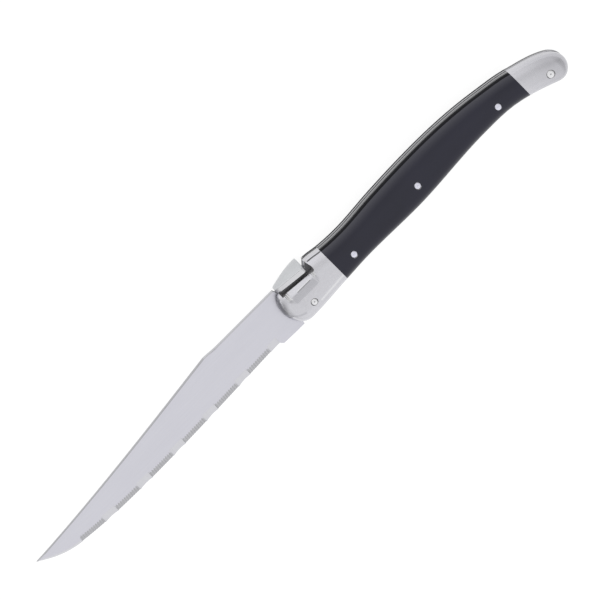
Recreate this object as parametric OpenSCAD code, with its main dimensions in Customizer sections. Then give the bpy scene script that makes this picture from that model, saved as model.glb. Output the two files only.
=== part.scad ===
// Riveted table steak knife with a scalloped, micro-toothed clip blade and a curved two-scale handle
// It lies on its right side: the tip points to -X, the spine to +Y and the left side up to +Z

/* [Blade] */
// Length of the blade from the bolster's nose to the tip
blade_len = 110.4; // [100:0.1:130]
// Height of the blade at the heel
blade_h = 15.1; // [14:0.1:17]
// Thickness of the blade at its spine, and of the tang
blade_t = 1.8; // [1.4:0.1:2.4]
// Length of the sloping clip from its crest to the tip
clip_len = 82.5; // [70:0.1:88]
// Rise of the crest above the straight spine
crest_rise = 0.33; // [0:0.01:0.6]
// Length over which the spine rises to the crest
crest_run = 6; // [3:0.1:10]
// Drop of the tip below the blade's middle line
tip_drop = 0.85; // [0:0.05:2]
// Length of the curved point along the edge
point_len = 14.5; // [12:0.1:20]
// Height of the point's start above the lowest belly
point_rise = 1.47; // [0.8:0.01:2]
// Distance of the lowest belly from the tip
belly_back = 44.4; // [36:0.1:56]
// Depth of the belly below the heel's lower line
belly_swell = 0.87; // [0.4:0.01:1.4]
// Length of the heel's lower line that runs in under the bolsters' nose
run_in = 2.6; // [1:0.1:3.4]

/* [Cutting edge] */
// Length of the plain heel in front of the bolster's nose
heel_len = 6.3; // [4:0.1:9]
// Height of the step between the heel and the edge
heel_step = 0.93; // [0.5:0.01:1.4]
// Length of the sloping step between the heel and the edge
heel_run = 0.8; // [0.3:0.1:1.5]
// Distance of the first teeth from the heel
heel_gap = 4.9; // [3.5:0.1:6]
// Length of plain edge kept at the tip
tip_plain = 13; // [10:0.1:20]
// Set-back of the toothed edge from the plain edge
tooth_back = 0.12; // [0.05:0.01:0.2]
// Spacing of the fine teeth
tooth_pitch = 0.86; // [0.7:0.01:1.2]
// Number of fine teeth in a group
teeth_per_group = 11; // [8:1:13]
// Width of the flat crest of a fine tooth
tooth_crest = 0.12; // [0.06:0.01:0.2]
// Depth of the grooves between the fine teeth
tooth_depth = 0.15; // [0.1:0.01:0.2]
// Length of a smooth scallop between two groups of teeth
scallop_len = 5.5; // [4:0.1:8]
// Depth of a scallop
scallop_depth = 0.27; // [0.2:0.01:0.6]
// Depth of the short scallop between the heel and the first teeth
heel_scallop_depth = 0.04; // [0.02:0.01:0.3]
// Height of the bevel that is ground on the left side at the teeth
bevel_h = 1.65; // [1.2:0.05:2]
// Height of the shallower face that is ground on the left side at a scallop
scallop_h = 2.6; // [2.2:0.1:3.2]
// Height of the narrow bevel along the plain point
point_bevel_h = 0.9; // [0.6:0.1:1.2]
// Thickness of the blade above the bevel
bevel_back_t = 0.7; // [0.5:0.01:0.9]
// Thickness left at the cutting edge
edge_t = 0.12; // [0.08:0.01:0.2]

/* [Handle] */
// Length of the handle from the nose to the butt
handle_len = 119.9; // [110:0.1:135]
// Thickness of each liner
liner_t = 1.1; // [0.8:0.1:1.6]
// Thickness of each bolster and scale
cheek_t = 3.8; // [3.2:0.1:5]
// Length of the front bolsters
front_bolster_len = 22.2; // [20:0.1:27]
// Length of the rear bolsters
rear_bolster_len = 16.1; // [13:0.1:19]
// Set-back of the tang's edge from the handle's outline
tang_inset = 0.4; // [0.2:0.05:0.8]
// Set-back of the liners behind the bolsters' round nose
liner_inset = 0.3; // [0.1:0.05:0.6]
// Length of the bolsters' round nose
nose_len = 6.2; // [5.5:0.1:8]
// Set-back of the bolsters' round nose from the blade's upper and lower lines
nose_inset = 0.35; // [0:0.05:0.5]
// Width of the rounded shoulders along the spine
spine_round = 5; // [3:0.1:5.4]
// Width of the rounded shoulders along the belly
belly_round = 3.6; // [2:0.1:4]
// Extra width of the spine's shoulders at the middle of the scales
shoulder_swell = 0.6; // [0:0.1:0.8]
// Depth of the rounded shoulders
shoulder_depth = 3; // [1.5:0.1:3.2]
// Rounding of the nose and the butt
end_round = 3.2; // [2:0.1:4.4]

/* [Handle outline] */
// Distance of the spine's hump from the nose
hump_x = 17.2; // [16.5:0.1:19]
// Height of the spine's hump behind the fly plate
hump_y = 7.5; // [7:0.05:8.5]
// Height of the spine at the front joint
spine_joint_y = 6.78; // [6.2:0.05:7.6]
// Height of the spine at the neck behind the front joint
spine_neck_y = 6.36; // [5.8:0.05:7.2]
// Height of the spine on its way up to the crest
spine_rise_y = 7.42; // [7:0.05:8]
// Height of the spine at the handle's crest
spine_crest_y = 8.07; // [7.6:0.05:9]
// Height of the spine where it falls to the butt
spine_fall_y = 6.2; // [5.6:0.05:7]
// Height of the spine at the rear joint
spine_rear_y = 4; // [3.6:0.05:4.4]
// Depth of the belly at the front joint
belly_joint_y = 6.3; // [5.8:0.05:7]
// Depth of the belly at the neck
belly_neck_y = 5.76; // [5.4:0.05:6.6]
// Depth of the belly at the palm swell
belly_palm_y = 6.08; // [5.6:0.05:7]
// Depth of the belly at the little finger's hollow
belly_hollow_y = 4.35; // [4:0.05:5.2]
// Depth of the belly where it runs down to the butt
belly_run_y = 4.95; // [4.6:0.05:5.6]
// Depth of the butt's centre below the blade's middle line
butt_drop = 5.25; // [4:0.05:6]
// Radius of the round butt
butt_r = 4.7; // [4.4:0.05:5.4]

/* [Fly plate] */
// Distance of the plate from the nose
fly_start = 3.3; // [3.1:0.1:4]
// Length of the plate
fly_len = 11.5; // [9:0.1:12]
// Width of the plate at its front end
fly_front_w = 4.8; // [4.2:0.1:6]
// Set-back of the plate's rear corners from the handle's faces
fly_side_in = 0.1; // [0:0.05:0.8]
// Drop of the plate's rim below the blade's spine
fly_rim_drop = 0.05; // [0:0.05:0.4]
// Thickness of the plate's rim at its front end
fly_front_t = 1.58; // [1.3:0.01:1.9]
// Thickness of the plate's rim at its rear end
fly_rear_t = 1.67; // [1.3:0.01:2.1]
// Rise of the plate's crown at its front end
fly_front_crown = 0.45; // [0.3:0.05:0.9]
// Rise of the plate's crown at its rear end
fly_crown = 2.1; // [1:0.05:2.4]
// Length over which the crown rises
crown_run = 9.5; // [6:0.1:10]
// Radius of the plate's corners
fly_corner_r = 1.2; // [0.8:0.1:1.6]
// Gap in front of the plate
fly_fit = 0.3; // [0.1:0.05:0.4]
// Gap between the plate and the tang and liners behind it
fly_gap = 1.4; // [0.3:0.1:1.8]

/* [Bolster scoop] */
// Height of the slot under the plate at its front end
slot_front_h = 1.1; // [0.6:0.05:1.6]
// Height of the slot under the plate at its rear end
slot_rear_h = 1.8; // [1:0.05:2.4]
// Length of the pocket behind the plate
pocket_len = 2; // [1.8:0.1:2.4]
// Radius of the pocket's lower corner
pocket_r = 1; // [0.4:0.1:1.4]
// Height of the scoop's lower end above the blade's middle line
scoop_low_y = 0.2; // [-0.4:0.1:1]
// Height of the scoop's lower face
scoop_h = 2.6; // [1.8:0.1:3.2]
// Slope of the scoop's lower face
scoop_a = 16; // [10:1:22]
// Slope of the bank between the scoop's lower face and the slot
bank_a = 36; // [28:1:45]
// Length over which the scoop deepens at its front end
scoop_front_run = 2.4; // [2:0.1:5]
// Length over which the scoop runs out at its rear end
scoop_rear_run = 2.6; // [2:0.1:5]

/* [Rivets and pins] */
// Diameter of the front rivet and of the scale pins
pin_d = 2.1; // [1.6:0.1:3]
// Diameter of the rear rivet
rear_rivet_d = 2.5; // [1.8:0.1:3.2]
// Clearance round each rivet and pin
pin_fit = 0.02; // [0.01:0.01:0.1]
// Height of the domed ends of the rivets and pins
pin_dome = 0.16; // [0.05:0.01:0.3]
// Width of the fine countersink round each head
countersink = 0.2; // [0.1:0.05:0.4]
// Distance of the front rivet from the nose
front_rivet_x = 9.6; // [8:0.1:12]
// Drop of the front rivet below the blade's middle line
front_rivet_drop = 3.3; // [1:0.1:3.6]
// Distance of the front scale pin from the front joint
front_pin_in = 6.8; // [5:0.1:10]
// Distance of the middle scale pin from the front joint
middle_pin_in = 36.2; // [30:0.1:44]
// Distance of the rear scale pin from the rear joint
rear_pin_in = 9.9; // [6:0.1:14]
// Drop of the front scale pin below the handle's middle line
front_pin_drop = 1.7; // [0:0.1:2]
// Drop of the middle scale pin below the handle's middle line
middle_pin_drop = 1.3; // [0:0.1:2]
// Drop of the rear scale pin below the handle's middle line
rear_pin_drop = 1.4; // [0:0.1:2]
// Distance of the rear rivet in front of the butt's centre
rear_rivet_back = 2.25; // [0:0.05:2.8]
// Drop of the rear rivet below the butt's centre
rear_rivet_drop = 0.05; // [0:0.05:1]

/* [Hidden] */
$fn = 48;

// Finishes
blade_tint = [0.80, 0.80, 0.84];
steel_tint = [0.78, 0.78, 0.79];
liner_tint = [0.60, 0.60, 0.62];
scale_tint = [0.17, 0.17, 0.20];
pin_tint = [0.86, 0.86, 0.87];

// Margin by which a cutter reaches past the metal that it cuts
over = 1;

// Steps of the blade's curves
clip_steps = 24;
rise_steps = 6;
point_steps = 14;
group_steps = 4;
scallop_steps = 8;
run_in_steps = 4;

// Steps of the handle's curves
nose_steps = 10;
front_steps = 9;
scale_steps = 28;
rear_steps = 9;
butt_steps = 11;
shoulder_steps = 8;
hump_steps = 5;
front_low_steps = 6;
rear_top_steps = 8;
rear_low_steps = 6;
butt_arc_steps = 18;
liner_nose_steps = 16;
pocket_steps = 6;
scoop_steps = 24;

// Steps of the fly plate and of the domed ends of the rivets
fly_corner_steps = 5;
fly_steps = 10;
crown_steps = 10;
dome_steps = 4;

// Height above the face at which the scoop's cutter starts and ends
scoop_lift = 0.1;

// First and last angle of the cheeks' sections round the nose, and the last one round the butt
nose_first_a = 4;
nose_last_a = 84;
butt_last_a = 86;

// Half thicknesses: blade, metal core of blade and liners, whole handle
blade_half = blade_t / 2;
core_half = blade_half + liner_t;
handle_half = core_half + cheek_t;

// Blade stations
half_h = blade_h / 2;
tip_x = -blade_len;
tip_y = -tip_drop;
heel_x = -heel_len;
step_x = heel_x - heel_run;
crest_x = tip_x + clip_len;
crest_y = half_h + crest_rise;
belly_y = -half_h - belly_swell;

// Slopes of the blade's curves at the tip, the crest, the point and the heel
clip_tip_slope = 0.058;
clip_crest_slope = 0.13;
edge_tip_slope = -0.75;
edge_point_slope = -0.13;
edge_heel_slope = 0.031;

// Blade curves as knots of [x, y, slope]
clip_knots = [[tip_x, tip_y, clip_tip_slope], [crest_x, crest_y, clip_crest_slope]];
rise_knots = [[crest_x, crest_y, 0], [crest_x + crest_run, half_h, 0]];
edge_knots = [[tip_x, tip_y, edge_tip_slope], [tip_x + point_len, belly_y + point_rise, edge_point_slope],
              [tip_x + belly_back, belly_y, 0], [heel_x, -half_h + heel_step, edge_heel_slope]];

// Groups of teeth along the edge, counted from the heel
group_len = teeth_per_group * tooth_pitch;
group_pitch = group_len + scallop_len;
group_start = heel_x - heel_gap;
group_count = floor((group_start - tip_x - tip_plain + scallop_len) / group_pitch);

// Length of the small step between two ground faces of the edge
face_step = 0.06;

// Height of the bevel at the very tip, and its growth with the blade's height
tip_bevel_h = 0.3;
tip_bevel_growth = 0.4;

// Handle stations
nose_r = half_h - nose_inset;
front_joint = front_bolster_len;
rear_joint = handle_len - rear_bolster_len;
scale_len = rear_joint - front_joint;
butt_x = handle_len - butt_r;
butt_y = -butt_drop;

// Directions in which the spine and the belly run into the round butt
butt_top_a = 34;
butt_low_a = 22;
butt_top = [butt_x + butt_r * sin(butt_top_a), butt_y + butt_r * cos(butt_top_a)];
butt_low = [butt_x - butt_r * sin(butt_low_a), butt_y - butt_r * cos(butt_low_a)];

// Stations of the handle's curves as shares of the scales' length
spine_neck_at = 0.10;
spine_rise_at = 0.29;
spine_crest_at = 0.543;
spine_fall_at = 0.855;
belly_neck_at = 0.145;
belly_palm_at = 0.377;
belly_hollow_at = 0.776;
belly_run_at = 0.933;

// Slopes of the handle's curves where they run through a station on a slant
hump_slope = -0.05;
spine_joint_slope = -0.12;
spine_rise_slope = 0.055;
spine_fall_slope = -0.16;
spine_rear_slope = -0.3;
belly_joint_slope = 0.05;
belly_run_slope = -0.17;

// Handle curves as knots of [x, y, slope]
spine_knots = [[nose_len, nose_r, 0], [hump_x, hump_y, hump_slope],
               [front_joint, spine_joint_y, spine_joint_slope],
               [scale_at(spine_neck_at), spine_neck_y, 0],
               [scale_at(spine_rise_at), spine_rise_y, spine_rise_slope],
               [scale_at(spine_crest_at), spine_crest_y, 0],
               [scale_at(spine_fall_at), spine_fall_y, spine_fall_slope],
               [rear_joint, spine_rear_y, spine_rear_slope],
               [butt_top[0], butt_top[1], -tan(butt_top_a)]];
belly_knots = [[nose_len, -nose_r, 0], [front_joint, -belly_joint_y, belly_joint_slope],
               [scale_at(belly_neck_at), -belly_neck_y, 0],
               [scale_at(belly_palm_at), -belly_palm_y, 0],
               [scale_at(belly_hollow_at), -belly_hollow_y, 0],
               [scale_at(belly_run_at), -belly_run_y, belly_run_slope],
               [butt_low[0], butt_low[1], -tan(butt_low_a)]];

// Sections along the cheeks, closer together at the round nose and butt
front_xs = concat([for (a = span(nose_first_a, nose_last_a, nose_steps)) nose_len * (1 - cos(a))],
                  span(nose_len, front_joint, front_steps));
scale_xs = span(front_joint, rear_joint, scale_steps);
rear_xs = concat(span(rear_joint, butt_x, rear_steps, 1),
                 [for (a = span(0, butt_last_a, butt_steps)) butt_x + butt_r * sin(a)]);

// Largest shares of a section's height and thickness that one rounded shoulder takes
shoulder_w_share = 0.49;
shoulder_d_share = 0.9;

// Fly plate stations
fly_end = fly_start + fly_len;
seat_end = fly_end + fly_gap;
fly_rim_y = half_h - fly_rim_drop;
fly_top_y = fly_rim_y + fly_crown;
fly_rear_half = handle_half - fly_side_in;

// Ends and open top of the slot under the plate
slot_start = fly_start - fly_fit;
slot_end = fly_end + pocket_len;
slot_top = fly_top_y + over;

// Places of the rivets and pins
front_rivet_at = [front_rivet_x, -front_rivet_drop];
rear_rivet_at = [butt_x - rear_rivet_back, butt_y - rear_rivet_drop];
front_pin_at = pin_place(front_joint + front_pin_in, front_pin_drop);
middle_pin_at = pin_place(front_joint + middle_pin_in, middle_pin_drop);
rear_pin_at = pin_place(rear_joint - rear_pin_in, rear_pin_drop);

// The origin lies under the middle of the knife's box
top_y = max(fly_top_y, crest_y, max([for (x = scale_xs) handle_hi(x)]));
low_y = min(butt_y - butt_r, belly_y);
mid_x = (tip_x + handle_len) / 2;
mid_y = (top_y + low_y) / 2;

function lerp(a, b, t) = a + (b - a) * t;
function span(a, b, n, skip_last = 0) = [for (i = [0:n - skip_last]) lerp(a, b, i / n)];
function back(list) = [for (i = [len(list) - 1:-1:0]) list[i]];

// Height of one cubic between two knots, and of a whole curve
function hermite(a, b, x) =
  let (h = b[0] - a[0], t = (x - a[0]) / h, u = 1 - t)
  a[1] * (1 + 2 * t) * u * u + b[1] * t * t * (3 - 2 * t) + h * t * u * (a[2] * u - b[2] * t);
function curve_y(knots, x, i = 0) =
  i >= len(knots) - 2 || x <= knots[i + 1][0]
    ? hermite(knots[i], knots[i + 1], x)
    : curve_y(knots, x, i + 1);
function curve_turn(knots, x, h = 0.05) = atan2(curve_y(knots, x + h) - curve_y(knots, x - h), 2 * h);

// Height of a circle of radius r at a distance d from its centre
function arc_y(r, d) = sqrt(max(0, r * r - d * d));

function scale_at(share) = lerp(front_joint, rear_joint, share);

// Spine and belly of the handle
function nose_y(x) = nose_r / nose_len * arc_y(nose_len, nose_len - x);
function handle_hi(x) =
  x < nose_len ? nose_y(x)
  : x > butt_top[0] ? butt_y + arc_y(butt_r, x - butt_x)
  : curve_y(spine_knots, x);
function handle_lo(x) =
  x < nose_len ? -nose_y(x)
  : x > butt_low[0] ? butt_y - arc_y(butt_r, x - butt_x)
  : curve_y(belly_knots, x);
function pin_place(x, drop) = [x, (handle_hi(x) + handle_lo(x)) / 2 - drop];

// Outer face of the cheeks, which rolls over at the nose and the butt
function end_share(d) = d >= end_round ? 1 : sqrt(1 - pow(1 - d / end_round, 2));
function face_z(x) = core_half + cheek_t * end_share(min(x, handle_len - x));
function spine_w(x) =
  let (t = min(1, max(0, (x - front_joint) / scale_len)))
  spine_round + shoulder_swell * pow(sin(180 * t), 2);

// Half section of a cheek, from the belly over the face to the spine
function cheek_ring(x) =
  let (
    lo = handle_lo(x),
    hi = handle_hi(x),
    top = face_z(x),
    w_most = shoulder_w_share * (hi - lo),
    w_lo = min(belly_round, w_most),
    w_hi = min(spine_w(x), w_most),
    d = min(shoulder_depth, shoulder_d_share * (top - core_half)),
    steps = span(0, 90, shoulder_steps)
  )
  concat(
    [[x, lo, core_half]],
    [for (a = steps) [x, lo + w_lo * (1 - cos(a)), top - d * (1 - sin(a))]],
    [for (a = steps) [x, hi - w_hi * (1 - sin(a)), top - d * (1 - cos(a))]],
    [[x, hi, core_half]]
  );

// Seat of the fly plate on the tang and the liners
function seat_y(x) = fly_rim_y - lerp(fly_front_t, fly_rear_t, (x - fly_start) / fly_len);

// Half thickness of the blade on its flat grind
function grind_half(y) = lerp(bevel_back_t / 2, blade_half, (y + half_h) / blade_h);

// Solid through sections that follow each other along +X
module loft(rings) {
  n = len(rings[0]);
  last = (len(rings) - 1) * n;
  sides = [for (k = [0:len(rings) - 2], i = [0:n - 1], half = [0, 1])
    let (j = (i + 1) % n, a = k * n + i, b = k * n + j, c = b + n, d = a + n)
    half == 0 ? [a, b, c] : [a, c, d]];
  caps = [back([for (i = [0:n - 1]) i]), [for (i = [0:n - 1]) last + i]];
  polyhedron([for (r = rings) each r], concat(caps, sides), convexity = 6);
}

// Moves the knife from the blade's middle line to its resting place
module place() {
  translate([-mid_x, -mid_y, handle_half]) children();
}

module on_right() {
  mirror([0, 0, 1]) children();
}

// Lines of the handle's straight-sided core, set in from its outline
function upper_line(xs, inset) = [for (x = xs) [x, handle_hi(x) - inset]];
function lower_line(xs, inset) = [for (x = xs) [x, handle_lo(x) + inset]];
function butt_arc(inset) =
  let (r = butt_r - inset)
  [for (a = span(butt_top_a, 180 + butt_low_a, butt_arc_steps)) [butt_x + r * sin(a), butt_y + r * cos(a)]];

// Stations of the core behind the fly plate and behind the nose
core_xs = span(front_joint, rear_joint, scale_steps, 1);
core_top_xs = concat(span(seat_end, front_joint, hump_steps, 1), core_xs,
                     span(rear_joint, butt_top[0], rear_top_steps, 1));
core_low_xs = concat(span(nose_len, front_joint, front_low_steps, 1), core_xs,
                     span(rear_joint, butt_low[0], rear_low_steps, 1));

// Stations of the cutting edge as [x, height, rise of the ground face]
function edge_y(x) = curve_y(edge_knots, x);
function edge_station(x, notch, rise) = [x, edge_y(x) + notch, rise];
function group_front(g) = group_start - g * group_pitch;
function group_back(g) = group_front(g) - group_len;
function point_rise_at(x) =
  min(point_bevel_h, tip_bevel_h + tip_bevel_growth * (curve_y(clip_knots, x) - edge_y(x)));
function point_line() =
  [for (x = span(tip_x, group_back(group_count - 1) - face_step, point_steps))
    edge_station(x, 0, point_rise_at(x))];
function group_line(g) =
  [for (x = span(group_back(g), group_front(g), group_steps)) edge_station(x, tooth_back, bevel_h)];
function scallop_line(x_from, x_to, depth) =
  [for (u = span(-1, 1, scallop_steps))
    let (x = lerp(x_from + face_step, x_to - face_step, (u + 1) / 2), notch = depth * (1 - u * u))
    edge_station(x, notch, scallop_h - notch)];
edge_line = concat(
  point_line(),
  [for (g = [group_count - 1:-1:1])
    each concat(group_line(g), scallop_line(group_front(g), group_back(g - 1), scallop_depth))],
  group_line(0),
  scallop_line(group_front(0), step_x, heel_scallop_depth)
);

// Side view of the blade and its tang
function blade_outline() = concat(
  [for (x = span(tip_x, crest_x, clip_steps, 1)) [x, curve_y(clip_knots, x)]],
  [for (x = span(crest_x, crest_x + crest_run, rise_steps)) [x, curve_y(rise_knots, x)]],
  [[slot_start, half_h], [slot_start, seat_y(slot_start)]],
  [[seat_end, seat_y(seat_end)]],
  upper_line(core_top_xs, tang_inset),
  butt_arc(tang_inset),
  back(lower_line(concat(span(run_in + tang_inset, nose_len, run_in_steps, 1), core_low_xs), tang_inset)),
  [[run_in, -half_h], [heel_x, -half_h]],
  [for (i = [len(edge_line) - 1:-1:1]) [edge_line[i][0], edge_line[i][1]]]
);

// Wedge taken off one side of the blade by the flat grind, which runs out over the heel
module grind() {
  x_far = tip_x - over;
  y_low = belly_y - over;
  z_low = grind_half(y_low);
  z_out = blade_half + over;
  loft([for (s = [[x_far, z_low], [heel_x, z_low], [0, blade_half]])
    [[s[0], y_low, s[1]], [s[0], y_low, z_out], [s[0], half_h, z_out], [s[0], half_h, blade_half]]]);
}

// Lower and upper end of the ground face at a station, as [y, z], and its slope
function ground_low(s) = [s[1], edge_t - grind_half(s[1])];
function ground_top(s) = let (y = s[1] + s[2]) [y, grind_half(y)];
function ground_angle(s) = let (run = ground_top(s) - ground_low(s)) atan2(run[1], run[0]);

// Bevels and shallow scallops ground along the edge on the left side
module edge_grind() {
  stations = concat([edge_station(tip_x - over, 0, tip_bevel_h)], edge_line);
  loft([for (s = stations)
    let (low = ground_low(s), run = ground_top(s) - low, a = low - run, b = low + 2 * run)
    [[s[0], a[0], a[1]], [s[0], a[0], b[1]], [s[0], b[0], b[1]]]]);
}

// Groove between two fine teeth, ground into the bevel square to the edge
module tooth_groove(x) {
  station = edge_station(x, tooth_back, bevel_h);
  low = ground_low(station);
  w = (tooth_pitch - tooth_crest) / 2;
  translate([x, low[0], low[1]])
    rotate([0, 0, curve_turn(edge_knots, x)])
    rotate([ground_angle(station) - 90, 0, 0])
    translate([0, 0, -bevel_h])
    linear_extrude(4 * bevel_h)
    polygon([[-w, 0], [0, -tooth_depth], [w, 0], [0, tooth_depth]]);
}

module edge_teeth() {
  for (g = [0:group_count - 1], i = [0:teeth_per_group - 1])
    tooth_groove(group_front(g) - (i + 0.5) * tooth_pitch);
}

// Bores for the rivets and pins
module bore(at, d) {
  translate([at[0], at[1], 0]) cylinder(h = 2 * (handle_half + over), d = d + 2 * pin_fit, center = true);
}

module rivet_bores() {
  bore(front_rivet_at, pin_d);
  bore(rear_rivet_at, rear_rivet_d);
  for (at = [front_pin_at, middle_pin_at, rear_pin_at]) bore(at, pin_d);
}

// Bore through a cheek with a fine countersink at its face
module headed_bore(at, d) {
  bore(at, d);
  translate([at[0], at[1], handle_half - countersink])
    cylinder(h = 2 * countersink, r1 = d / 2, r2 = d / 2 + 2 * countersink);
}

// Rivet or pin through the whole handle, with a low dome on each end
module rivet(at, d) {
  r = d / 2;
  flat = handle_half - pin_dome;
  dome = [for (a = span(0, 90, dome_steps)) [r * cos(a), flat + pin_dome * sin(a)]];
  translate([at[0], at[1], 0])
    rotate_extrude() polygon(concat([for (p = back(dome)) [p[0], -p[1]]], dome));
}

module blade() {
  color(blade_tint) place() difference() {
    linear_extrude(blade_t, center = true) polygon(blade_outline());
    grind();
    on_right() grind();
    edge_grind();
    edge_teeth();
    rivet_bores();
  }
}

// Side view of a liner: a round nose, the seat of the fly plate, then the handle's outline
function liner_outline() =
  let (r = nose_r - liner_inset, reach = nose_len - liner_inset, seat_a = asin(seat_y(fly_start) / r))
  concat(
    [for (a = span(-90, seat_a, liner_nose_steps)) [nose_len - reach * cos(a), r * sin(a)]],
    [[seat_end, seat_y(seat_end)]],
    upper_line(core_top_xs, 0),
    butt_arc(0),
    back(lower_line([for (x = core_low_xs) if (x > nose_len) x], 0))
  );

module liner() {
  color(liner_tint) difference() {
    translate([0, 0, blade_half]) linear_extrude(liner_t) polygon(liner_outline());
    rivet_bores();
  }
}

module left_liner() {
  place() liner();
}

module right_liner() {
  place() on_right() liner();
}

// Floor of the slot under the fly plate
function slot_y(x) = seat_y(x) - lerp(slot_front_h, slot_rear_h, (x - fly_start) / fly_len);

// Slot under the fly plate in a front bolster, open to the spine, with a pocket behind the plate
module fly_slot() {
  corner_x = slot_end - pocket_r;
  outline = concat(
    [[slot_start, slot_top], [slot_start, slot_y(slot_start)]],
    [for (a = span(0, 90, pocket_steps))
      [corner_x + pocket_r * sin(a), slot_y(corner_x) + pocket_r * (1 - cos(a))]],
    [[slot_end, slot_top]]
  );
  translate([0, 0, core_half - over]) linear_extrude(cheek_t + 2 * over) polygon(outline);
}

// Share of the scoop's full depth at x, which runs out softly towards both ends
function scoop_share(x) =
  let (front = (x - slot_start) / scoop_front_run, rear = (slot_end - x) / scoop_rear_run)
  pow(sin(90 * min(1, front, rear)), 2);

// Section of the scoop: its lower face up to the ridge, then the steeper bank up to the slot
function scoop_ring(x) =
  let (
    share = scoop_share(x),
    low_y = scoop_low_y - over,
    ridge_y = scoop_low_y + scoop_h,
    low_z = handle_half + over * tan(scoop_a),
    ridge_z = handle_half + scoop_lift - share * (scoop_lift + scoop_h * tan(scoop_a)),
    bank_z = ridge_z - share * (slot_top - ridge_y) * tan(bank_a),
    out_z = handle_half + over
  )
  [[x, low_y, low_z], [x, low_y, out_z], [x, slot_top, out_z],
   [x, slot_top, bank_z], [x, ridge_y, ridge_z]];

module bolster_scoop() {
  loft([for (x = span(slot_start, slot_end, scoop_steps)) scoop_ring(x)]);
}

module front_bolster() {
  color(steel_tint) difference() {
    loft([for (x = front_xs) cheek_ring(x)]);
    fly_slot();
    bolster_scoop();
    headed_bore(front_rivet_at, pin_d);
  }
}

module left_front_bolster() {
  place() front_bolster();
}

module right_front_bolster() {
  place() on_right() front_bolster();
}

module handle_scale() {
  color(scale_tint) difference() {
    loft([for (x = scale_xs) cheek_ring(x)]);
    for (at = [front_pin_at, middle_pin_at, rear_pin_at]) headed_bore(at, pin_d);
  }
}

module left_scale() {
  place() handle_scale();
}

module right_scale() {
  place() on_right() handle_scale();
}

module rear_bolster() {
  color(steel_tint) difference() {
    loft([for (x = rear_xs) cheek_ring(x)]);
    headed_bore(rear_rivet_at, rear_rivet_d);
  }
}

module left_rear_bolster() {
  place() rear_bolster();
}

module right_rear_bolster() {
  place() on_right() rear_bolster();
}

// Half width of the fly plate at a distance d from its front end, with rounded corners
function fly_half(d) =
  let (
    run = fly_len - fly_corner_r,
    flare = lerp(fly_front_w / 2, fly_rear_half, min(1, d / run)),
    past = max(fly_corner_r - d, d - run, 0)
  )
  flare - fly_corner_r + arc_y(fly_corner_r, past);

function fly_rise(d) = lerp(fly_front_crown, fly_crown, sin(90 * min(1, d / crown_run)));

// Flared plate on the spine: a flat seat, upright rims and a crown that rises to the rear
module fly_plate() {
  r = fly_corner_r;
  corner_step = 90 / (fly_corner_steps + 1);
  ds = concat(
    [for (a = span(0, 90 - corner_step, fly_corner_steps)) r * (1 - cos(a))],
    span(r, fly_len - r, fly_steps),
    [for (a = span(corner_step, 90, fly_corner_steps)) fly_len - r * (1 - sin(a))]
  );
  rings = [for (d = ds)
    let (x = fly_start + d, w = fly_half(d))
    concat(
      [[x, seat_y(x), -w], [x, seat_y(x), w]],
      [for (u = span(1, -1, crown_steps)) [x, fly_rim_y + fly_rise(d) * (1 - u * u), u * w]]
    )];
  color(steel_tint) place() loft(rings);
}

module front_rivet() {
  color(pin_tint) place() rivet(front_rivet_at, pin_d);
}

module rear_rivet() {
  color(pin_tint) place() rivet(rear_rivet_at, rear_rivet_d);
}

module scale_pin_front() {
  color(pin_tint) place() rivet(front_pin_at, pin_d);
}

module scale_pin_middle() {
  color(pin_tint) place() rivet(middle_pin_at, pin_d);
}

module scale_pin_rear() {
  color(pin_tint) place() rivet(rear_pin_at, pin_d);
}

blade();
left_liner();
right_liner();
left_front_bolster();
right_front_bolster();
left_scale();
right_scale();
left_rear_bolster();
right_rear_bolster();
fly_plate();
front_rivet();
rear_rivet();
scale_pin_front();
scale_pin_middle();
scale_pin_rear();
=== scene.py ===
"""Looks of a riveted table steak knife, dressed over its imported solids."""
import math

import bpy
from mathutils import Matrix, Vector


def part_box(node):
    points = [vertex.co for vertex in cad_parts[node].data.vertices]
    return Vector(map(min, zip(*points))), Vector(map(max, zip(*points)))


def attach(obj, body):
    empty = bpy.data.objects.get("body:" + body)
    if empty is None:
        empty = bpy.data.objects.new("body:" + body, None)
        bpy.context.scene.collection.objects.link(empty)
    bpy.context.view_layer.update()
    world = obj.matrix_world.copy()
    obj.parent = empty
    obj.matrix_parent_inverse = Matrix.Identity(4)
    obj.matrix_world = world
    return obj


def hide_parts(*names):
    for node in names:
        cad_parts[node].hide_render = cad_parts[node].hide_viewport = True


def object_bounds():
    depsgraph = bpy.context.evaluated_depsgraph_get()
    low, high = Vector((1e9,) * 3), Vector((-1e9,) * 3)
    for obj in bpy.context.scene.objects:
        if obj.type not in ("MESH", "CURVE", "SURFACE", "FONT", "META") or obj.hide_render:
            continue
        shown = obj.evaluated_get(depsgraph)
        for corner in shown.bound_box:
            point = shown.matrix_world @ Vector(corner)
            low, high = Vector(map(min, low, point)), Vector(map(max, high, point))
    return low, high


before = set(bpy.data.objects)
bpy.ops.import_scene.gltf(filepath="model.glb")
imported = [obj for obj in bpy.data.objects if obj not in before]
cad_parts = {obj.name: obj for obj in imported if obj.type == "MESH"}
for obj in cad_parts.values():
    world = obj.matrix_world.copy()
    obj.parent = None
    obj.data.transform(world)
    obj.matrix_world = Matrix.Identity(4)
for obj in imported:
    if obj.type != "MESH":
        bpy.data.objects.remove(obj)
cad_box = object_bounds()

# Every length below is in metres. X runs from the tip to the butt, Y to the spine, Z up from the table
MM = 0.001
LENGTHWISE = Vector((1, 0, 0))
TO_SPINE = Vector((0, 1, 0))
OFF_TABLE = Vector((0, 0, 1))

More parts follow.
